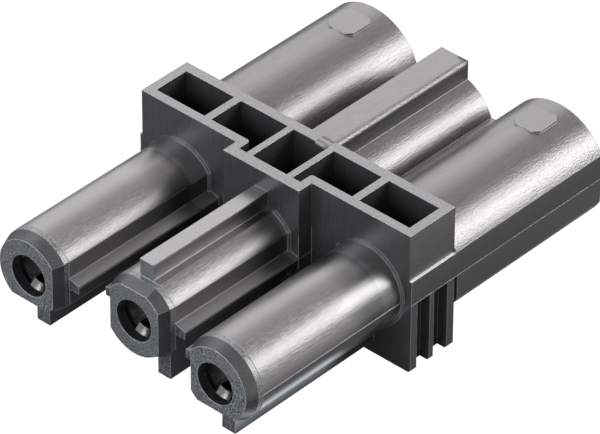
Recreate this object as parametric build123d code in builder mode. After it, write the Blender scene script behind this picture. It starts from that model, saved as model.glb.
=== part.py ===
from build123d import *
from dataclasses import dataclass
from math import sqrt
import os

os.makedirs("parts", exist_ok=True)

# Three-pole inline cable coupler, in millimetres. X runs across the poles, Y from the
# sockets in front to the pins behind, Z up. The origin is at the middle of the
# coupler's length and width, on the surface that the block stands on.

# Poles, side by side on one height
pole_pitch = 14.0
axis_height = 9.3

# Block in the middle
block_width = 40.16
block_depth = 7.35
block_height = 18.6
step_width = 11.3
step_depth = 2.1

# Reach of barrels and shells from the faces of the block
barrel_reach = 24.4
centre_barrel_reach = 22.35
shell_reach = 24.65
centre_shell_reach = 22.75

# Walls and ribs of the block
end_wall = 1.15
front_wall = 1.15
rear_wall = 1.3
step_front_wall = 1.4
step_side_wall = 1.05
outer_rib_place = 11.05
outer_rib_width = 1.0
inner_rib_place = 3.0
inner_rib_width = 0.85
pocket_corner_radius = 0.4
mid_web = 1.2
contact_tube_radius = 4.2

# Two upright slots in the lower half of each side
slot_depth = 1.35
slot_top = 9.2
first_slot_start = 1.0
first_slot_width = 2.1
second_slot_start = 3.75
second_slot_width = 2.25
seam_width = 0.5
seam_depth = 0.6
foot_chamfer = 0.3

# Socket barrels
barrel_radius = 5.1
side_flat = 4.2
bottom_flat = 4.2
centre_top_flat = 4.7
tip_taper = 0.6
tip_taper_length = 1.4
tip_land_length = 0.7
tip_land_step = 0.04
root_ring_step = 0.25
root_ring_length = 0.25
mouth_radius = 2.6
mouth_wall = 1.2

# Coding ribs on the barrels, measured from the pole's axis
keel_width = 1.94
keel_reach = 7.6
crest_reach = 6.87
side_rib_low = 0.9
side_rib_high = 0.6
side_rib_edge = 0.2
right_rib_reach = 5.6
left_rib_reach = 6.3
offset_keel_from = 1.54
offset_keel_to = 3.4
offset_keel_reach = 7.5

# Pin shells
fit_gap = 0.2
shell_radius = 7.16
shell_flat = 6.4
centre_shell_radius = 6.13
ridge_width = 4.14
ridge_reach = 8.3
ridge_left_round = 0.2
ridge_right_round = 1.25
rib_cover = 0.75
shell_web_half_height = 2.2
mouth_chamfer = 0.35
pad_width = 3.8
pad_length = 4.25
pad_from_end = 2.0
pad_height = 7.24
pad_corner = 0.65
pad_root = 6.4

# Double-ended contacts
contact_radius = 2.95
chamber_gap = 0.05
shaft_radius = 2.8
pin_radius = 2.0
pin_tip_radius = 1.1
pin_tip_length = 1.6
pin_reach = 14.3
centre_pin_reach = 16.2
socket_gap = 0.05
socket_depth = 14.0
socket_lead = 0.75
drill_point = 0.8
finger_slot_width = 0.5
finger_slot_length = 9.0
lip_width = 2.0
lip_length = 3.2
sleeve_length = 15.6
barb_count = 2
barb_pitch = 1.6
barb_length = 0.9
barb_gap = 0.02
barb_start = 1.2

# Stations along the coupler
overall_length = barrel_reach + block_depth + shell_reach
outer_tip = -overall_length / 2
block_front = outer_tip + barrel_reach
block_rear = block_front + block_depth
step_front = block_front - step_depth
body_start = tip_taper_length + tip_land_length
chamber_radius = contact_radius + chamber_gap
socket_radius = pin_radius + socket_gap


@dataclass
class Pole:
    """One pole: the place of its axis, the ends of its pieces, its flats and its coding ribs."""

    x: float
    tip: float
    root: float
    shell_end: float
    pin_tip: float
    left: float
    right: float
    top: float
    bottom: float
    ribs: list


no_flat = 2 * barrel_radius


def upright_rib(x_from, x_to, reach):
    """Corners of a rib that stands up or hangs down from the pole's axis."""
    return [(x_from, 0), (x_to, 0), (x_to, reach), (x_from, reach)]


def side_rib(side, reach):
    """Corners of a rib to one side, whose top slopes down from the barrel's flat to its edge."""
    return [
        (0, -side_rib_low),
        (side * reach, -side_rib_low),
        (side * reach, side_rib_edge),
        (side * side_flat, side_rib_high),
        (0, side_rib_high),
    ]


keel = upright_rib(-keel_width / 2, keel_width / 2, -keel_reach)
crest = upright_rib(-keel_width / 2, keel_width / 2, crest_reach)
offset_keel = upright_rib(offset_keel_from, offset_keel_to, -offset_keel_reach)
right_rib = side_rib(1, right_rib_reach)
left_rib = side_rib(-1, left_rib_reach)
outer_shell_end = block_rear + shell_reach
centre_shell_end = block_rear + centre_shell_reach

left_pole = Pole(
    x=-pole_pitch,
    tip=outer_tip,
    root=block_front,
    shell_end=outer_shell_end,
    pin_tip=block_rear + pin_reach,
    left=no_flat,
    right=side_flat,
    top=no_flat,
    bottom=bottom_flat,
    ribs=[keel, right_rib],
)
centre_pole = Pole(
    x=0,
    tip=block_front - centre_barrel_reach,
    root=step_front,
    shell_end=centre_shell_end,
    pin_tip=block_rear + centre_pin_reach,
    left=side_flat,
    right=side_flat,
    top=centre_top_flat,
    bottom=no_flat,
    ribs=[crest, offset_keel, left_rib, right_rib],
)
right_pole = Pole(
    x=pole_pitch,
    tip=outer_tip,
    root=block_front,
    shell_end=outer_shell_end,
    pin_tip=block_rear + pin_reach,
    left=side_flat,
    right=no_flat,
    top=no_flat,
    bottom=bottom_flat,
    ribs=[keel, left_rib],
)
poles = [left_pole, centre_pole, right_pole]


def across(y):
    """The upright plane across the coupler at y, with X to the right and Z up."""
    return Plane.XZ.offset(-y)


def rectangle(x_from, x_to, y_from, y_to, mode=Mode.ADD):
    """A rectangle in the open sketch, given by its four sides."""
    with Locations(((x_from + x_to) / 2, (y_from + y_to) / 2)):
        Rectangle(x_to - x_from, y_to - y_from, mode=mode)


def barrel_section(pole, grow=0.0, ribs=False):
    """The barrel's round section with its flats, grown all round, alone or with its ribs."""
    with BuildSketch() as section:
        with Locations((pole.x, axis_height)):
            Circle(barrel_radius + grow)
        rectangle(
            pole.x - pole.left - grow,
            pole.x + pole.right + grow,
            axis_height - pole.bottom - grow,
            axis_height + pole.top + grow,
            mode=Mode.INTERSECT,
        )
        if ribs:
            for corners in pole.ribs:
                add(rib_section(pole, corners, grow))
    return section.sketch


def rib_section(pole, corners, grow):
    """One coding rib of the pole, grown all round."""
    with BuildSketch() as section:
        with Locations((pole.x, axis_height)):
            Polygon(*corners, align=None)
        if grow:
            offset(amount=grow, kind=Kind.INTERSECTION)
    return section.sketch


def shell_section(pole):
    """The outside of the pole's shell, with the ridges that cover the ribs of a mating barrel."""
    with BuildSketch() as section:
        with Locations((pole.x, axis_height)):
            Circle(centre_shell_radius if pole is centre_pole else shell_radius)
        if pole is centre_pole:
            rectangle(
                -ridge_width / 2,
                ridge_width / 2,
                axis_height,
                axis_height + ridge_reach,
            )
            top = axis_height + ridge_reach
            crown = section.vertices().filter_by_position(Axis.Y, top - 0.01, top + 0.01)
            fillet(crown.sort_by(Axis.X)[0], ridge_left_round)
            fillet(crown.sort_by(Axis.X)[-1], ridge_right_round)
            rectangle(
                offset_keel_from - fit_gap - rib_cover,
                offset_keel_to + fit_gap + rib_cover,
                axis_height - offset_keel_reach - fit_gap - rib_cover,
                axis_height,
            )
        else:
            rectangle(
                -pole_pitch - shell_flat,
                pole_pitch + shell_flat,
                0,
                block_height,
                mode=Mode.INTERSECT,
            )
            rectangle(
                pole.x - ridge_width / 2,
                pole.x + ridge_width / 2,
                axis_height - keel_reach - fit_gap - rib_cover,
                axis_height,
            )
    return section.sketch


def block_pockets(outer_edge):
    """The plan of the block's five pockets: its inside, less the four ribs across it."""
    inner_front = block_front + front_wall
    inner_rear = block_rear - rear_wall
    step_edge = step_width / 2 - step_side_wall
    with BuildSketch() as plan:
        rectangle(-outer_edge, outer_edge, inner_front, inner_rear)
        rectangle(-step_edge, step_edge, step_front + step_front_wall, inner_front)
        corners = [
            v
            for v in plan.vertices()
            if abs(abs(v.X) - step_edge) < 0.01 and abs(v.Y - inner_front) < 0.01
        ]
        fillet(corners, pocket_corner_radius)
        for side in (-1, 1):
            for place, width in (
                (outer_rib_place, outer_rib_width),
                (inner_rib_place, inner_rib_width),
            ):
                rectangle(
                    side * place - width / 2,
                    side * place + width / 2,
                    step_front,
                    block_rear,
                    mode=Mode.SUBTRACT,
                )
    return plan.sketch


# Housing: one moulding
side_edge = pole_pitch + shell_flat
ledge_height = axis_height + sqrt(shell_radius**2 - shell_flat**2)
with BuildPart() as housing:
    # Block with its stepped front wall, wider below the ledge
    with BuildSketch(Plane.XY):
        rectangle(-block_width / 2, block_width / 2, block_front, block_rear)
        rectangle(-step_width / 2, step_width / 2, step_front, block_rear)
    extrude(amount=block_height)
    with BuildSketch(Plane.XY):
        rectangle(-side_edge, side_edge, block_front, block_rear)
    extrude(amount=ledge_height)
    feet = housing.edges().filter_by(Axis.Y).group_by(Axis.Z)[0].sort_by(Axis.X)
    chamfer([feet[0], feet[-1]], foot_chamfer)

    # Pockets from above and from below, which leave a web at mid height
    with BuildSketch(Plane.XY.offset(axis_height + mid_web / 2)):
        add(block_pockets(block_width / 2 - end_wall))
    extrude(amount=block_height, mode=Mode.SUBTRACT)
    with BuildSketch(Plane.XY.offset(axis_height - mid_web / 2)):
        add(block_pockets(side_edge - slot_depth - end_wall))
    extrude(amount=-axis_height, mode=Mode.SUBTRACT)

    # Slots in the lower half of each side, and the seam between block and shell
    with BuildSketch(Plane.XY.offset(slot_top)):
        for side in (-1, 1):
            x_inner = side * (side_edge - slot_depth)
            x_outer = side * (side_edge + slot_depth)
            for start, width in (
                (first_slot_start, first_slot_width),
                (second_slot_start, second_slot_width),
            ):
                rectangle(
                    min(x_inner, x_outer),
                    max(x_inner, x_outer),
                    block_front + start,
                    block_front + start + width,
                )
    extrude(amount=-slot_top, mode=Mode.SUBTRACT)

    # Tubes that carry the contacts through the pockets
    for pole in poles:
        with BuildSketch(across(block_rear)):
            with Locations((pole.x, axis_height)):
                Circle(contact_tube_radius)
        extrude(amount=block_rear - pole.root)

    # Pin shells and the webs that join them
    for pole in poles:
        with BuildSketch(across(pole.shell_end)):
            add(shell_section(pole))
        extrude(amount=pole.shell_end - block_rear)
    with BuildSketch(across(centre_shell_end)):
        rectangle(
            -pole_pitch,
            pole_pitch,
            axis_height - shell_web_half_height,
            axis_height + shell_web_half_height,
        )
    extrude(amount=centre_shell_reach)
    with BuildSketch(Plane.XY.offset(slot_top)):
        for side in (-1, 1):
            x_inner = side * (side_edge - seam_depth)
            x_outer = side * (side_edge + seam_depth)
            rectangle(
                min(x_inner, x_outer),
                max(x_inner, x_outer),
                block_rear - seam_width / 2,
                block_rear + seam_width / 2,
            )
    extrude(amount=-slot_top, mode=Mode.SUBTRACT)

    # Bare marking pads on the outer shells
    with BuildSketch(Plane.XY.offset(axis_height + pad_root)):
        for pole in (left_pole, right_pole):
            with Locations((pole.x, pole.shell_end - pad_from_end - pad_length / 2)):
                Rectangle(pad_width, pad_length)
        chamfer(vertices(), pad_corner)
    extrude(amount=pad_height - pad_root)

    # Cavities that take a mating barrel, with a lead-in at the mouth
    for pole in poles:
        with BuildSketch(across(pole.shell_end)):
            add(barrel_section(pole, fit_gap, ribs=True))
        extrude(amount=pole.shell_end - block_rear, mode=Mode.SUBTRACT)
        with BuildSketch(across(pole.shell_end)):
            add(barrel_section(pole, fit_gap + mouth_chamfer, ribs=True))
        with BuildSketch(across(pole.shell_end - mouth_chamfer)):
            add(barrel_section(pole, fit_gap, ribs=True))
        loft(ruled=True, mode=Mode.SUBTRACT)

    # Socket barrels: tapered tip, narrow land, body with coding ribs, ring at the root
    for pole in poles:
        with BuildSketch(across(pole.tip)):
            add(barrel_section(pole, -tip_taper))
        with BuildSketch(across(pole.tip + tip_taper_length)):
            add(barrel_section(pole, -tip_land_step))
        loft(ruled=True)
        with BuildSketch(across(pole.tip + body_start)):
            add(barrel_section(pole, -tip_land_step))
        extrude(amount=tip_land_length)
        with BuildSketch(across(pole.root)):
            add(barrel_section(pole, ribs=True))
        extrude(amount=pole.root - pole.tip - body_start)
        with BuildSketch(across(pole.root)):
            add(barrel_section(pole, root_ring_step))
        extrude(amount=root_ring_length)

    # Chambers for the contacts, narrower at the mouth
    for pole in poles:
        with BuildSketch(across(block_rear)):
            with Locations((pole.x, axis_height)):
                Circle(chamber_radius)
        extrude(amount=block_rear - pole.tip - mouth_wall, mode=Mode.SUBTRACT)
        with BuildSketch(across(pole.tip + mouth_wall)):
            with Locations((pole.x, axis_height)):
                Circle(mouth_radius)
        extrude(amount=mouth_wall, mode=Mode.SUBTRACT)

housing.part.label = "housing"
export_step(housing.part, "parts/housing.step")


def make_contact(pole, name):
    """A turned contact: socket sleeve with two lips in front, barbed shaft, pin behind."""
    face = pole.tip + mouth_wall
    axis = Axis((pole.x, 0, axis_height), (0, 1, 0))
    along = Plane(origin=(pole.x, 0, axis_height), x_dir=(0, 1, 0), z_dir=(1, 0, 0))
    barb_radius = chamber_radius - barb_gap
    with BuildPart() as contact:
        with BuildSketch(along):
            with BuildLine():
                Polyline(
                    (face + socket_depth + drill_point, 0),
                    (face + socket_depth, socket_radius),
                    (face + socket_lead, socket_radius),
                    (face, mouth_radius),
                    (face, contact_radius),
                    (face + sleeve_length, contact_radius),
                    (face + sleeve_length, shaft_radius),
                    (block_rear, shaft_radius),
                    (block_rear, pin_radius),
                    (pole.pin_tip - pin_tip_length, pin_radius),
                )
                TangentArc(
                    (pole.pin_tip - pin_tip_length, pin_radius),
                    (pole.pin_tip, pin_tip_radius),
                    tangent=(1, 0),
                )
                Polyline(
                    (pole.pin_tip, pin_tip_radius),
                    (pole.pin_tip, 0),
                    (face + socket_depth + drill_point, 0),
                )
            make_face()
        revolve(axis=axis)

        # Barbs that bite into the housing behind the block's front wall
        for number in range(barb_count):
            start = block_front + barb_start + number * barb_pitch
            with BuildSketch(along):
                with BuildLine():
                    Polyline(
                        (start, shaft_radius / 2),
                        (start, shaft_radius),
                        (start + barb_length, barb_radius),
                        (start + barb_length, shaft_radius / 2),
                        close=True,
                    )
                make_face()
            revolve(axis=axis)

        # Level slot that parts the sleeve into two springy fingers
        with BuildSketch(across(face + finger_slot_length)):
            with Locations((pole.x, axis_height)):
                Rectangle(3 * contact_radius, finger_slot_width)
        extrude(amount=finger_slot_length, mode=Mode.SUBTRACT)

        # Sides cut away in front, so that each finger ends in a narrow lip
        with BuildSketch(across(face + lip_length)):
            with Locations((pole.x, axis_height)):
                Rectangle(3 * contact_radius, 3 * contact_radius)
                Rectangle(lip_width, 3 * contact_radius, mode=Mode.SUBTRACT)
        extrude(amount=lip_length, mode=Mode.SUBTRACT)

    contact.part.label = name
    export_step(contact.part, f"parts/{name}.step")
    return contact.part


left_contact = make_contact(left_pole, "left_contact")
earth_contact = make_contact(centre_pole, "earth_contact")
right_contact = make_contact(right_pole, "right_contact")
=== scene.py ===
# %% [markdown]
# # A three-pole inline coupler in black plastic
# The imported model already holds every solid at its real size: the moulded housing and
# the three metal contacts. This lesson dresses them. It sets up the camera first, then a
# small language for shader maths, then the studio, then one finish for the moulding and
# one for the contacts.

# %% Load the frame
import bpy
import math
from mathutils import Matrix, Vector

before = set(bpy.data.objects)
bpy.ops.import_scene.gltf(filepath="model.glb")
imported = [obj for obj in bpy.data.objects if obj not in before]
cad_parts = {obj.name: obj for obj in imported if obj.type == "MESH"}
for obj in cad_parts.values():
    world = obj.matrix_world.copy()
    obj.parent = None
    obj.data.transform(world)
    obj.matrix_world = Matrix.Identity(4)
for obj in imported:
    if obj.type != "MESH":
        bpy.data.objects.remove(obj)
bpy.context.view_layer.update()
MM = 0.001
print("nodes:", sorted(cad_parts))

# %% [markdown]
# ## Camera
# The photograph was taken from far away with a long lens, so parallel edges stay nearly
# parallel. A camera can be placed by aiming an empty at the object, but here the view
# direction, the distance and the focal length were worked out together, so the camera's
# axes are built directly from the two view angles and a slight roll.

# %% Camera at the photograph's angle
VIEW_AZIMUTH = 42.37
VIEW_ELEVATION = 36.82
VIEW_ROLL = 0.25
VIEW_DISTANCE = 639.05 * MM
LENS_MM = 344.98
SENSOR_WIDTH_MM = 36.0
FARTHEST_SEEN = 20.0
AIM = Vector((0.0, -0.2, 9.1)) * MM
AIM_SHIFT_RIGHT = 0.476 * MM

azimuth, elevation, roll = (math.radians(a) for a in (VIEW_AZIMUTH, VIEW_ELEVATION, VIEW_ROLL))
toward_camera = Vector((
    math.sin(azimuth) * math.cos(elevation),
    -math.cos(azimuth) * math.cos(elevation),
    math.sin(elevation),
))
level_right = Vector((math.cos(azimuth), math.sin(azimuth), 0.0))
level_up = toward_camera.cross(level_right)
view_right = math.cos(roll) * level_right + math.sin(roll) * level_up
view_up = math.cos(roll) * level_up - math.sin(roll) * level_right

camera_data = bpy.data.cameras.new("camera")
camera_data.lens = LENS_MM
camera_data.sensor_width = SENSOR_WIDTH_MM
camera_data.clip_end = FARTHEST_SEEN
camera = bpy.data.objects.new("camera", camera_data)
bpy.context.scene.collection.objects.link(camera)
camera_axes = Matrix((view_right, view_up, toward_camera)).transposed()
camera.matrix_world = (
    Matrix.Translation(AIM + VIEW_DISTANCE * toward_camera + AIM_SHIFT_RIGHT * view_right)
    @ camera_axes.to_4x4()
)
bpy.context.scene.camera = camera
print("camera at", [round(v, 4) for v in camera.location])

# %% [markdown]
# ## Shader maths as plain Python
# Node trees are easier to read as sums than as dozens of links. One small class wraps a
# socket, and its operators add Math nodes for numbers. Every other node comes from the
# one method `node`, which takes the type, the settings and the socket values.


# %% A socket that can be added and multiplied
class Wire:
    """One output socket of a node tree, with arithmetic on its number."""

    def __init__(self, tree, socket=None):
        self.tree = tree
        self.socket = socket

    def node(self, kind, settings=None, inputs=None, output=0):
        """Adds a node: its settings first, then the values or links of its sockets."""
        made = self.tree.nodes.new(kind)
        for name, value in (settings or {}).items():
            setattr(made, name, value)
        for name, value in (inputs or {}).items():
            if isinstance(value, Wire):
                self.tree.links.new(value.socket, made.inputs[name])
            else:
                made.inputs[name].default_value = value
        return Wire(self.tree, made.outputs[output] if made.outputs else None)

    def math(self, operation, *values):
        return self.node("ShaderNodeMath", {"operation": operation}, dict(enumerate(values)))

    def __add__(self, other):
        return self.math("ADD", self, other)

    def __radd__(self, other):
        return self.math("ADD", other, self)

    def __sub__(self, other):
        return self.math("SUBTRACT", self, other)

    def __rsub__(self, other):
        return self.math("SUBTRACT", other, self)

    def __mul__(self, other):
        return self.math("MULTIPLY", self, other)

    def __rmul__(self, other):
        return self.math("MULTIPLY", other, self)

    def __truediv__(self, other):
        return self.math("DIVIDE", self, other)

    def __abs__(self):
        return self.math("ABSOLUTE", self)

    def largest(self, other):
        return self.math("MAXIMUM", self, other)

    def nearest_whole(self):
        return self.math("ROUND", self)

    def step(self, start, end):
        """0 before start, 1 after end, smooth between them."""
        return self.node(
            "ShaderNodeMapRange",
            {"interpolation_type": "SMOOTHSTEP"},
            {"Value": self, "From Min": start, "From Max": end},
        )


print("arithmetic on sockets ready")

# %% [markdown]
# ## Masks and blends
# A mask is a number from 0 to 1 that says where a finish lies. Written out each time, its
# soft borders would hide what it means, so four short helpers name the usual ones: past a
# place, between two, near one, and a value that a mask lowers. The blends then go from one
# colour, number or vector to another as the mask rises.


# %% Helpers for masks and blends
def past(value, place, blur=0.1):
    """0 up to a place and 1 beyond it, with a border as wide as the blur."""
    return value.step(place, place + blur)


def between(value, low, high):
    """1 between two places and 0 outside them."""
    return past(value, low) * (1 - past(value, high))


def near(value, place, reach, blur=0.1):
    """1 up to a reach from a place and 0 further away."""
    return 1 - past(abs(value - place), reach, blur)


def less(mask, share):
    """1 away from the mask, and lower by the share on it."""
    return 1 - share * mask


def blend_colours(mask, low, high):
    """A colour that goes from low to high with the mask."""
    return mask.node(
        "ShaderNodeMix",
        {"data_type": "RGBA"},
        {"Factor": mask, 6: low, 7: high},
        output=2,
    )


def blend_vectors(mask, low, high):
    """A vector that goes from low to high with the mask."""
    return mask.node(
        "ShaderNodeMix",
        {"data_type": "VECTOR"},
        {"Factor": mask, 4: low, 5: high},
        output=1,
    )


def blend_numbers(mask, low, high):
    """A number that goes from low to high with the mask."""
    return low + mask * (high - low)


def split(start, vector):
    """The three numbers of a vector."""
    parts = start.tree.nodes.new("ShaderNodeSeparateXYZ")
    start.tree.links.new(vector.socket, parts.inputs[0])
    return [Wire(start.tree, part) for part in parts.outputs]


def new_material(name):
    """A material with an empty tree, and a wire to start from."""
    material = bpy.data.materials.new(name)
    material.use_nodes = True
    material.node_tree.nodes.clear()
    return material, Wire(material.node_tree)


print("masks and blends ready")

# %% [markdown]
# ## Floor
# The coupler lies on pale paper. Black gloss plastic mirrors that paper, and a floor that
# is white in every mirror would wash out the lower flanks. So the paper is grey for its
# own light, glows for the camera, and shows the plastic only two pale strips, as if cards
# lay there. A narrow one beside the right barrel draws the bright line along its foot. A
# wide one further right lights the flanks of that barrel, of the block's end and of the
# right shell.


# %% A floor that looks white and mirrors grey
def seen_by(start):
    """Three wires: 1 for camera rays, for mirror rays and for rays that came through glass."""
    path = start.tree.nodes.new("ShaderNodeLightPath")
    kinds = ("Is Camera Ray", "Is Glossy Ray", "Is Transmission Ray")
    return [Wire(start.tree, path.outputs[kind]) for kind in kinds]


FLOOR_SIZE = 6.0
FLOOR_DROP = 0.02 * MM
half = FLOOR_SIZE / 2
floor_mesh = bpy.data.meshes.new("floor")
floor_mesh.from_pydata(
    [(-half, -half, 0), (half, -half, 0), (half, half, 0), (-half, half, 0)], [], [(0, 1, 2, 3)]
)
floor = bpy.data.objects.new("floor", floor_mesh)
floor.location.z = -FLOOR_DROP
bpy.context.scene.collection.objects.link(floor)

WHITE = (1, 1, 1, 1)
FLOOR_GREY = (0.15, 0.15, 0.15, 1)
COOL_CARD = (0.86, 0.96, 1.0, 1)
PAPER_LIGHT = 1.2
NEAR_CARD_LIGHT = 1.45
CAMERA_GLOW = 0.88
FAR_CARD_GLOW = 0.92
NEAR_CARD_LEFT, NEAR_CARD_RIGHT = 16.7 * MM, 20.0 * MM
NEAR_CARD_REAR = -10.5 * MM
FAR_CARD_LEFT, FAR_CARD_RIGHT = 36 * MM, 250 * MM

floor_material, start = new_material("floor_paper")
camera_ray, glossy_ray, through_ray = seen_by(start)
across_floor, along_floor, _ = split(start, start.node("ShaderNodeTexCoord", output=3))
near_card = (
    past(across_floor, NEAR_CARD_LEFT, 1.0 * MM)
    * (1 - past(across_floor, NEAR_CARD_RIGHT, 1.5 * MM))
    * (1 - past(along_floor, NEAR_CARD_REAR, 4.0 * MM))
)
far_card = past(across_floor, FAR_CARD_LEFT, 4.0 * MM) * (
    1 - past(across_floor, FAR_CARD_RIGHT, 150 * MM)
)
glow = (camera_ray + through_ray) * CAMERA_GLOW + glossy_ray * far_card * FAR_CARD_GLOW
paper = start.node("ShaderNodeBsdfDiffuse", inputs={"Color": FLOOR_GREY})
bright_paper = start.node("ShaderNodeEmission", inputs={"Color": WHITE, "Strength": PAPER_LIGHT})
card = start.node("ShaderNodeEmission", inputs={"Color": COOL_CARD, "Strength": NEAR_CARD_LIGHT})
mixed = start.node("ShaderNodeMixShader", inputs={0: glow, 1: paper, 2: bright_paper})
mixed = start.node("ShaderNodeMixShader", inputs={0: glossy_ray * near_card, 1: mixed, 2: card})
start.node("ShaderNodeOutputMaterial", inputs={"Surface": mixed})
floor_mesh.materials.append(floor_material)
print("floor", FLOOR_SIZE, "m wide, nodes", len(floor_material.node_tree.nodes))

# %% [markdown]
# ## Sky and lamps
# Black gloss plastic has almost no colour of its own: it shows what stands around it. The
# broad grey along the tops and the white streak on the right flank are reflections of two
# soft boxes behind the coupler, one to the left and one to the right. So the lamps are
# placed by mirror direction, as azimuth and height seen from the part. The fills and the
# key stand at the left and in front, on the side of the block's front wall and of the
# faces of the tips.

# %% Sky
AMBIENT = 0.48

world = bpy.data.worlds.new("studio")
bpy.context.scene.world = world
world.use_nodes = True
world.node_tree.nodes.clear()
sky = Wire(world.node_tree)
camera_ray, glossy_ray, through_ray = seen_by(sky)
background = sky.node(
    "ShaderNodeBackground",
    inputs={"Color": WHITE, "Strength": AMBIENT + camera_ray * (1 - AMBIENT)},
)
sky.node("ShaderNodeOutputWorld", inputs={"Surface": background})
print("sky", AMBIENT, "as a light, 1 for the camera")


# %% Lamps
LAMP_DISTANCE = 0.8


def soft_box(name, toward, size, radiance, colour, distance=LAMP_DISTANCE):
    """A lamp that faces the part; toward is azimuth from +Y to +X and height, in degrees."""
    turn, rise = (math.radians(angle) for angle in toward)
    away = Vector((
        math.sin(turn) * math.cos(rise),
        math.cos(turn) * math.cos(rise),
        math.sin(rise),
    ))
    width, tall = size
    data = bpy.data.lights.new(name, "AREA")
    data.shape = "RECTANGLE"
    data.size = width
    data.size_y = tall
    data.energy = radiance * math.pi * width * tall
    data.color = colour
    lamp = bpy.data.objects.new(name, data)
    lamp.location = away * distance
    lamp.rotation_euler = away.to_track_quat("Z", "Y").to_euler()
    bpy.context.scene.collection.objects.link(lamp)
    print(name, "at", toward, "radiance", radiance)


soft_box("soft_box_left", (-44, 36), (0.55, 0.46), 2.6, (1.0, 0.96, 0.98))
soft_box("soft_box_left_low", (-53, 3), (0.60, 0.40), 1.75, (1.0, 0.97, 0.985))
soft_box("soft_box_right", (47, 25.5), (0.50, 0.37), 12.8, (1.0, 0.975, 0.97))
soft_box("soft_box_above", (2, 57), (0.42, 0.28), 1.4, (1.0, 0.88, 0.94))
soft_box("side_fill_left", (-105, 52), (0.60, 0.45), 1.4, (0.95, 0.98, 1.0))
soft_box("front_fill_left", (-150, 25), (0.60, 0.50), 5.6, (0.85, 0.97, 1.0))
soft_box("front_fill_right", (160, 20), (0.60, 0.50), 4.6, (0.88, 0.97, 1.0), distance=0.9)
soft_box("front_key", (175, 32), (0.22, 0.18), 10.0, (0.93, 0.98, 1.0))

# %% [markdown]
# ## Where each finish lies on the housing
# The housing is one moulding, but its skin differs from place to place: the barrel tips
# keep the speckle of an eroded tool, the barrels are combed by drawing them out, the
# shells are pebbled and the top of the block is dull. Painted images could show that.
# Masks measured in millimetres, and by the direction that a face looks in, stay sharp at
# any size and need no unwrapping, so they are used here.


# %% Place and direction of each face
def millimetres(start):
    """The surface point's place in millimetres, as one vector and as three numbers."""
    coordinates = start.node("ShaderNodeTexCoord", output=3)
    scaled = start.node(
        "ShaderNodeVectorMath", {"operation": "SCALE"}, {0: coordinates, "Scale": 1 / MM}
    )
    return scaled, split(start, scaled)


NEARLY_LEVEL = (0.985, 0.998)
NEARLY_ENDWAYS = (0.80, 0.95)
NEARLY_SIDEWAYS = (0.90, 0.99)
TURNED_ASIDE = (0.15, 0.60)

plastic, start = new_material("moulded_plastic")
point, (across, along, height) = millimetres(start)
true_normal = start.node("ShaderNodeNewGeometry", output=3)
to_right, to_rear, to_top = split(start, true_normal)
upward = to_top.step(*NEARLY_LEVEL)
endways = abs(to_rear).step(*NEARLY_ENDWAYS)
flank = abs(to_right).step(*NEARLY_SIDEWAYS)
rightward = to_right.step(*TURNED_ASIDE)
leftward = (0 - to_right).step(*TURNED_ASIDE)
print("direction masks, nodes", len(plastic.node_tree.nodes))

# %% Tips, barrels, block and ridge
CENTRE_REACH = 6.9
OUTER_TIP_END, CENTRE_TIP_END = -26.1, -24.05
BARREL_END = -3.9
# The solid block begins at -5.9 on its step and at -3.8 beside it, later than its finish
BLOCK_FINISH_START = -6.75
# Level faces count as dull tops from these heights up
BARREL_LEVEL_BOTTOM, BLOCK_LEVEL_BOTTOM = 15.5, 16.5
RIM_HEIGHT = (17.5, 18.0)
# In the pockets and over the roots of the shells no edge gets a painted highlight
SHELTER_LOW, SHELTER_HIGH, SHELTER_REAR = 12.6, 18.2, 7.0
# The zone of the side ribs on the left and centre barrels
RIB_ZONE_MIDDLE, RIB_ZONE_REACH = -2.0, 9.0
# The solid ridge begins at 3.55, so this zone also takes in a piece of the block's rim
RIDGE_EDGE_START = 0.7
RIDGE_EDGE_PLACE, RIDGE_EDGE_REACH, RIDGE_EDGE_BOTTOM = 1.6, 0.9, 16.0
LEDGE_HEIGHT, LEDGE_REACH, LEDGE_INNER_SIDE = 12.51, 0.3, 18.9
CREST_END_BOTTOM = 14.45

centre = near(across, 0, CENTRE_REACH)
tip = past(blend_numbers(centre, OUTER_TIP_END, CENTRE_TIP_END) - along, -0.04, blur=0.08)
body = 1 - tip
barrel = 1 - past(along, BARREL_END)
block = past(along, BLOCK_FINISH_START, blur=0.05)
before_block = 1 - block
level_bottom = blend_numbers(block, BARREL_LEVEL_BOTTOM, BLOCK_LEVEL_BOTTOM)
level = upward * past(height - level_bottom, -0.02, blur=0.04)
not_level = 1 - level
rim = height.step(*RIM_HEIGHT)
sheltered = block * (1 - past(along, SHELTER_REAR)) * between(height, SHELTER_LOW, SHELTER_HIGH)
# The top of the side plate's ledge gets a painted highlight
ledge_highlight = (
    upward
    * near(height, LEDGE_HEIGHT, LEDGE_REACH, blur=0.2)
    * past(across, LEDGE_INNER_SIDE, blur=0.2)
)
rib_root = before_block * body * rightward * near(across, RIB_ZONE_MIDDLE, RIB_ZONE_REACH)
crest_end = endways * before_block * past(height, CREST_END_BOTTOM)
ridge_edge = (
    near(across, RIDGE_EDGE_PLACE, RIDGE_EDGE_REACH)
    * past(height, RIDGE_EDGE_BOTTOM, blur=0.2)
    * past(along, RIDGE_EDGE_START)
)
print("place masks, nodes", len(plastic.node_tree.nodes))

# %% [markdown]
# The mould opens at half height, which leaves a fine parting line on every flank and a
# smoother skin below it; the line also carries a painted highlight. Towards the block the
# barrels' skin calms down, and its colour is painted darker there as shade, because little
# light reaches it. Inside the bores the pale speckle of the tips stops, which needs the
# distance from the nearest pole's axis: the place is divided by the pitch of the poles and
# rounded to find that axis.

# %% Parting line, root of the barrels and bores
PARTING_HEIGHT = 9.25
CALM_ROOT = (-15.0, -9.5)
DARK_ROOT = (-12.0, -8.5)
POLE_PITCH = 14.0
AXIS_HEIGHT = 9.3
# The squares of 3.46 and 3.61, which lie between a bore and the outside of its barrel
BORE_SQUARED = (12.0, 13.0)
ROUND_SURFACE = (0.10, 0.30)

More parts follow.
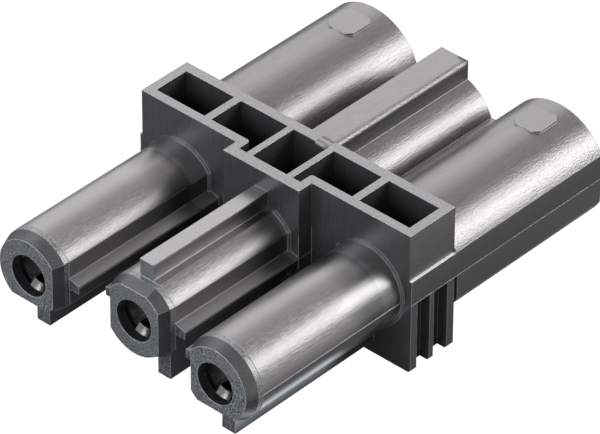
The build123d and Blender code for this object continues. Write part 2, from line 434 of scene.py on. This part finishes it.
above_parting = past(height, PARTING_HEIGHT, blur=0.05)
below_parting = 1 - above_parting
parting = near(height, PARTING_HEIGHT, 0.03, blur=0.06)
flank_line = parting * flank * body
sunk_flat = flank * before_block * body * above_parting
near_root = along.step(*CALM_ROOT) * barrel
at_root = along.step(*DARK_ROOT) * before_block * barrel
from_axis = across - POLE_PITCH * (across / POLE_PITCH).nearest_whole()
above_axis = height - AXIS_HEIGHT
outside_bore = (from_axis * from_axis + above_axis * above_axis).step(*BORE_SQUARED)
land = (1 - abs(to_rear).step(*ROUND_SURFACE)) * outside_bore
print("root and bore masks, nodes", len(plastic.node_tree.nodes))

# %% [markdown]
# ## Rounded edges and painted edge highlights
# No moulded edge is quite sharp, and each one catches a thin line of light, which is
# painted on as a pale edge colour. Rounding the mesh would change the solid, so the Bevel
# node turns the normals instead. A radius of a tenth of a millimetre serves all edges, a
# wider one softens the roots of the ribs, and the widest one draws the highlight of a
# rounded edge along the right of the ridge. That edge should be round in the solid too,
# but the imported solid has it sharp. Where the finely rounded normal differs from the true
# one there is an edge, and that difference is also the mask for the painted edge highlight.


# %% Bevelled normals and the mask for painted edge highlights
def bevelled(start, radius, samples):
    """The normal as if the edges were rounded off by a radius in millimetres."""
    return start.node("ShaderNodeBevel", {"samples": samples}, {"Radius": radius * MM})


EDGE_RADIUS = 0.12
RIB_ROOT_RADIUS = 0.70
RIDGE_EDGE_RADIUS = 1.25
TURNED_BY_BEVEL = (0.004, 0.05)
# Just before the block's finish only edges high up on the right keep a painted highlight
UNHIGHLIGHTED_START = -7.5
HIGHLIGHT_ARC_HEIGHT = (13.2, 13.8)
LINE_HIGHLIGHT = 0.7

crisp = bevelled(start, EDGE_RADIUS, 6)
rounded = blend_vectors(rib_root, crisp, bevelled(start, RIB_ROOT_RADIUS, 8))
rounded = blend_vectors(ridge_edge, rounded, bevelled(start, RIDGE_EDGE_RADIUS, 12))
likeness = start.node(
    "ShaderNodeVectorMath", {"operation": "DOT_PRODUCT"}, {0: true_normal, 1: crisp}, output=1
)
edge = (1 - likeness).step(*TURNED_BY_BEVEL)
unhighlighted = past(along, UNHIGHLIGHTED_START) * before_block
highlight_arc = height.step(*HIGHLIGHT_ARC_HEIGHT) * rightward
can_highlight = (1 - sheltered) * (1 - ridge_edge) * (1 - unhighlighted * (1 - highlight_arc))
edge_highlight = can_highlight * edge.largest(LINE_HIGHLIGHT * flank_line)
print("edges, nodes", len(plastic.node_tree.nodes))

# %% [markdown]
# ## Grain and streaks
# Drawing the moulding out leaves fine lines along each barrel and upright lines on the
# walls, an eroded tool leaves speckle, and the shells have a rougher pebble. Each is the
# same noise with its own stretch: long cells make streaks and round ones make grain.


# %% Noises in cells per millimetre
def noise(start, point, stretch, detail=2.0, roughness=0.5):
    """Noise from 0 to 1, with its own scale along each axis, in cells per millimetre."""
    placed = start.node("ShaderNodeVectorMath", {"operation": "MULTIPLY"}, {0: point, 1: stretch})
    return start.node(
        "ShaderNodeTexNoise",
        inputs={"Vector": placed, "Scale": 1.0, "Detail": detail, "Roughness": roughness},
    )


SPECKLE_RANGE = (0.44, 0.60)
PEBBLE_ON_SHELLS, HAIR_ON_BARRELS = 0.75, 0.65
FLECKS_ON_LEFT = 0.9
FLECKS_LOST_IN_ROOT_SHADE = 0.85

lengthwise = noise(start, point, (6.0, 0.22, 6.0), roughness=0.65)
upright = noise(start, point, (3.5, 3.5, 0.12), detail=3.0, roughness=0.65)
streaks = lengthwise * (1 - endways) + upright * endways
grain = noise(start, point, (6.0, 6.0, 6.0), detail=1.0)
hair = noise(start, point, (5.5, 0.9, 5.5), detail=1.0, roughness=0.6)
pebble = noise(start, point, (5.4, 4.4, 5.4), roughness=0.75)
shell_grain = (1 - PEBBLE_ON_SHELLS) * hair + PEBBLE_ON_SHELLS * pebble
barrel_grain = HAIR_ON_BARRELS * hair + (1 - HAIR_ON_BARRELS) * grain
skin_grain = blend_numbers(barrel, shell_grain, barrel_grain)
speckle = grain.step(*SPECKLE_RANGE)
# Flecks are speckle of the skin; they are laid thicker on the lit round sides as a painted sheen,
# and thinned near the block as painted shade
round_side = (rightward + FLECKS_ON_LEFT * leftward * barrel) * (1 - flank)
fleck_and_sheen = skin_grain.step(*SPECKLE_RANGE) * round_side * less(near_root, FLECKS_LOST_IN_ROOT_SHADE)
print("noises, nodes", len(plastic.node_tree.nodes))

# %% [markdown]
# ## Colour
# The plastic is close to black everywhere. What the eye takes for colour is partly the
# skin and partly painted light: pale specks where the eroded skin scatters light, laid
# thicker on the lit flanks as a painted sheen; a dull grey on level tops; a painted sheen on
# the sunk flats and the crest's end; painted shade on the tapers and near the block; and
# painted highlights on the edges, along the parting line and on the ledge of the side
# plate. The layers are laid on one after another, from the body of the material to the
# highlights on top of it.

# %% Colour of the plastic, layer by layer
PLASTIC_BLACK = (0.0150, 0.0144, 0.0148, 1)
PLASTIC_GREY = (0.0400, 0.0350, 0.0375, 1)
DULL_DARK, DULL_GREY = (0.016, 0.016, 0.017, 1), (0.060, 0.059, 0.062, 1)
# The taper of each tip takes a darker copy of the speckle as painted shade
SHADE_BLACK, TAPER_LIGHT = (0.002, 0.002, 0.003, 1), (0.016, 0.017, 0.019, 1)
FACE_DARK, FACE_LIGHT = (0.014, 0.015, 0.017, 1), (0.130, 0.135, 0.143, 1)
LAND_DARK, LAND_LIGHT = (0.020, 0.021, 0.022, 1), (0.130, 0.131, 0.134, 1)
FLECK_AND_SHEEN_GREY = (0.140, 0.124, 0.131, 1)
EDGE_HIGHLIGHT_GREY = (0.26, 0.26, 0.27, 1)
PAINTED_HIGHLIGHT_GREY = (0.60, 0.59, 0.59, 1)
STREAKS_LOST_ON_FLANKS, STREAKS_LOST_ON_WALLS = 0.6, 0.5
SHELL_FLECKS, BARREL_FLECKS_AND_SHEEN = 0.42, 0.58
PAINTED_SHEEN_ON_FLATS = 0.22
ROOT_PAINTED_SHADE = 0.8
BODY_EDGE_HIGHLIGHT, TIP_EDGE_HIGHLIGHT = 0.6, 0.85
PARTING_HIGHLIGHT = 0.35
DULL_LEVEL, DULL_RIM = 0.55, 0.85

streaked = streaks * less(flank, STREAKS_LOST_ON_FLANKS) * less(endways, STREAKS_LOST_ON_WALLS)
body_colour = blend_colours(streaked, PLASTIC_BLACK, PLASTIC_GREY)
face_colour = blend_colours(speckle, FACE_DARK, FACE_LIGHT)
shaded_taper_colour = blend_colours(speckle, SHADE_BLACK, TAPER_LIGHT)
land_colour = blend_colours(speckle, LAND_DARK, LAND_LIGHT)
dull_colour = blend_colours(speckle, DULL_DARK, DULL_GREY)
# Painted shade: the taper gets the darker speckle, the face the lighter one
tip_colour = blend_colours(endways, shaded_taper_colour, face_colour)
tip_colour = blend_colours(land, tip_colour, land_colour)

dull = blend_numbers(rim, DULL_LEVEL, DULL_RIM) * level * body
# Speckle and painted sheen, strongest on the barrels
flecks_and_sheen = blend_numbers(barrel, SHELL_FLECKS, BARREL_FLECKS_AND_SHEEN) * fleck_and_sheen * body
base = blend_colours(tip, body_colour, tip_colour)
base = blend_colours(dull, base, dull_colour)
base = blend_colours(flecks_and_sheen, base, FLECK_AND_SHEEN_GREY)
# Painted sheen: the end of the crest and the sunk flats are lifted towards the fleck grey
base = blend_colours(PAINTED_SHEEN_ON_FLATS * crest_end, base, FLECK_AND_SHEEN_GREY)
base = blend_colours(PAINTED_SHEEN_ON_FLATS * sunk_flat, base, FLECK_AND_SHEEN_GREY)
# Painted shade: the barrels' colour goes darker near the block, where little light reaches
base = blend_colours(ROOT_PAINTED_SHADE * at_root * not_level, base, SHADE_BLACK)
# Painted highlights on the edges, stronger on the tips
base = blend_colours(blend_numbers(tip, BODY_EDGE_HIGHLIGHT, TIP_EDGE_HIGHLIGHT) * edge_highlight, base, EDGE_HIGHLIGHT_GREY)
# Painted highlights on the ledge and along the barrels' parting line
base = blend_colours(ledge_highlight + PARTING_HIGHLIGHT * flank_line * barrel, base, PAINTED_HIGHLIGHT_GREY)
print("colour, nodes", len(plastic.node_tree.nodes))

# %% [markdown]
# ## Relief
# Grain, streaks and the parting line stand a few hundredths of a millimetre proud. Real
# displacement would need millions of faces, so a Bump node reads the depth in millimetres
# and tilts the rounded normals. Its Distance is one millimetre, which keeps the depths
# below true to size.

# %% Depth of the skin, in millimetres
GRAIN_DEPTH = 0.026
LEVEL_GRAIN_DEPTH = 0.014
SHELL_GRAIN_DEPTH, BARREL_GRAIN_DEPTH = 0.046, 0.052
STREAK_DEPTH = 0.012
PARTING_DEPTH = 0.030
GRAIN_ON_TOP_AND_LEFT = 0.30
GRAIN_LOST_AT_ROOT = 0.75
SKIN_LOST_BELOW_PARTING = 0.85

skin_depth = blend_numbers(barrel, SHELL_GRAIN_DEPTH, BARREL_GRAIN_DEPTH)
skin_depth = skin_depth * less(near_root, GRAIN_LOST_AT_ROOT)
grain_share = blend_numbers(rightward, GRAIN_ON_TOP_AND_LEFT, 1.0)
body_depth = STREAK_DEPTH * (1 + endways) * streaks + skin_depth * skin_grain * grain_share
smooth_below = less(below_parting, SKIN_LOST_BELOW_PARTING)
depth = (
    tip * GRAIN_DEPTH * grain
    + body * not_level * body_depth * smooth_below
    + body * level * LEVEL_GRAIN_DEPTH * grain
    + PARTING_DEPTH * parting * flank
)
relief = start.node(
    "ShaderNodeBump",
    inputs={"Strength": 1.0, "Distance": MM, "Height": depth, "Normal": rounded},
)
print("relief, nodes", len(plastic.node_tree.nodes))

# %% [markdown]
# ## Gloss
# A polished tool leaves a satin skin with a soft sheen over it. One roughness can't give
# both the clear streak and the wide haze round it, so a rougher coat lies over the body.
# It is strongest on the strip below the parting line, weaker on the barrels and their
# crest, and absent on the eroded tips.

# %% Roughness, coat and the finished plastic
BODY_ROUGHNESS = 0.20
TIP_ROUGHNESS = 0.12
STREAK_ROUGHNESS = 0.12
SKIN_ROUGHNESS = 0.03
BARREL_ROUGHNESS, BARREL_ROUGHNESS_RIGHT = 0.10, 0.19
STRIP_COAT, BARREL_COAT, CREST_COAT = 0.9, 0.6, 0.55
ROUGHNESS_LOST_AT_ROOT = 0.8
COAT_LOST_AT_ROOT, COAT_LOST_IN_DARK = 0.5, 0.9
COAT_ROUGHNESS = 0.30
PLASTIC_IOR, COAT_IOR = 1.55, 1.6

round_skin = barrel * less(near_root, ROUGHNESS_LOST_AT_ROOT) * body * not_level * (1 - endways)
skin_roughness = (
    STREAK_ROUGHNESS * streaks * not_level
    + SKIN_ROUGHNESS
    + round_skin * blend_numbers(rightward, BARREL_ROUGHNESS, BARREL_ROUGHNESS_RIGHT)
)
strip_coat = STRIP_COAT * below_parting * rightward
coated_barrel = barrel * above_parting * not_level * (1 - endways)
root_coat = less(near_root * rightward, COAT_LOST_AT_ROOT) * less(at_root, COAT_LOST_IN_DARK)
crest_coat = CREST_COAT * barrel * level * (1 - rim)
skin = start.node(
    "ShaderNodeBsdfPrincipled",
    inputs={
        "Base Color": base,
        "Roughness": BODY_ROUGHNESS + smooth_below * skin_roughness + TIP_ROUGHNESS * tip,
        "IOR": PLASTIC_IOR,
        "Specular IOR Level": 1.0,
        "Coat Weight": (strip_coat + BARREL_COAT * root_coat * coated_barrel + crest_coat) * body,
        "Coat Roughness": COAT_ROUGHNESS,
        "Coat IOR": COAT_IOR,
        "Normal": relief,
    },
)
start.node("ShaderNodeOutputMaterial", inputs={"Surface": skin})
print("moulded plastic, nodes", len(plastic.node_tree.nodes))

# %% [markdown]
# ## Plated metal
# The contacts are turned from brass rod and tin-plated. Only their lips show in the
# mouths, so the finish is short: a dull silver metal whose roughness changes in fine rings
# along the axis, as a lathe tool leaves them. A fairly low roughness lets each lip shade
# from light to dark.

# %% Finish of the contacts
TIN = (0.30, 0.285, 0.27, 1)
TIN_ROUGHNESS, RING_ROUGHNESS = 0.12, 0.14

contact_metal, start = new_material("contact_metal")
point, _ = millimetres(start)
turning = noise(start, point, (0.4, 9.0, 0.4))
metal = start.node(
    "ShaderNodeBsdfPrincipled",
    inputs={
        "Base Color": TIN,
        "Metallic": 1.0,
        "Roughness": TIN_ROUGHNESS + RING_ROUGHNESS * turning,
    },
)
start.node("ShaderNodeOutputMaterial", inputs={"Surface": metal})
print("contact metal, nodes", len(contact_metal.node_tree.nodes))

# %% [markdown]
# ## Dressing the nodes
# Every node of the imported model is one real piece, so each gets one material: the plastic
# for the housing and the metal for the three contacts. The meshes stay as they are.

# %% Give each piece its finish
for name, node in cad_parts.items():
    faces = node.data.polygons
    node.data.materials.clear()
    node.data.materials.append(plastic if name == "housing" else contact_metal)
    print(name, "faces", len(faces), "smooth", sum(face.use_smooth for face in faces))

# %% [markdown]
# ## Close
# The Standard view keeps the colours as the lamps make them.

# %% Colour management
bpy.context.scene.view_settings.view_transform = "Standard"
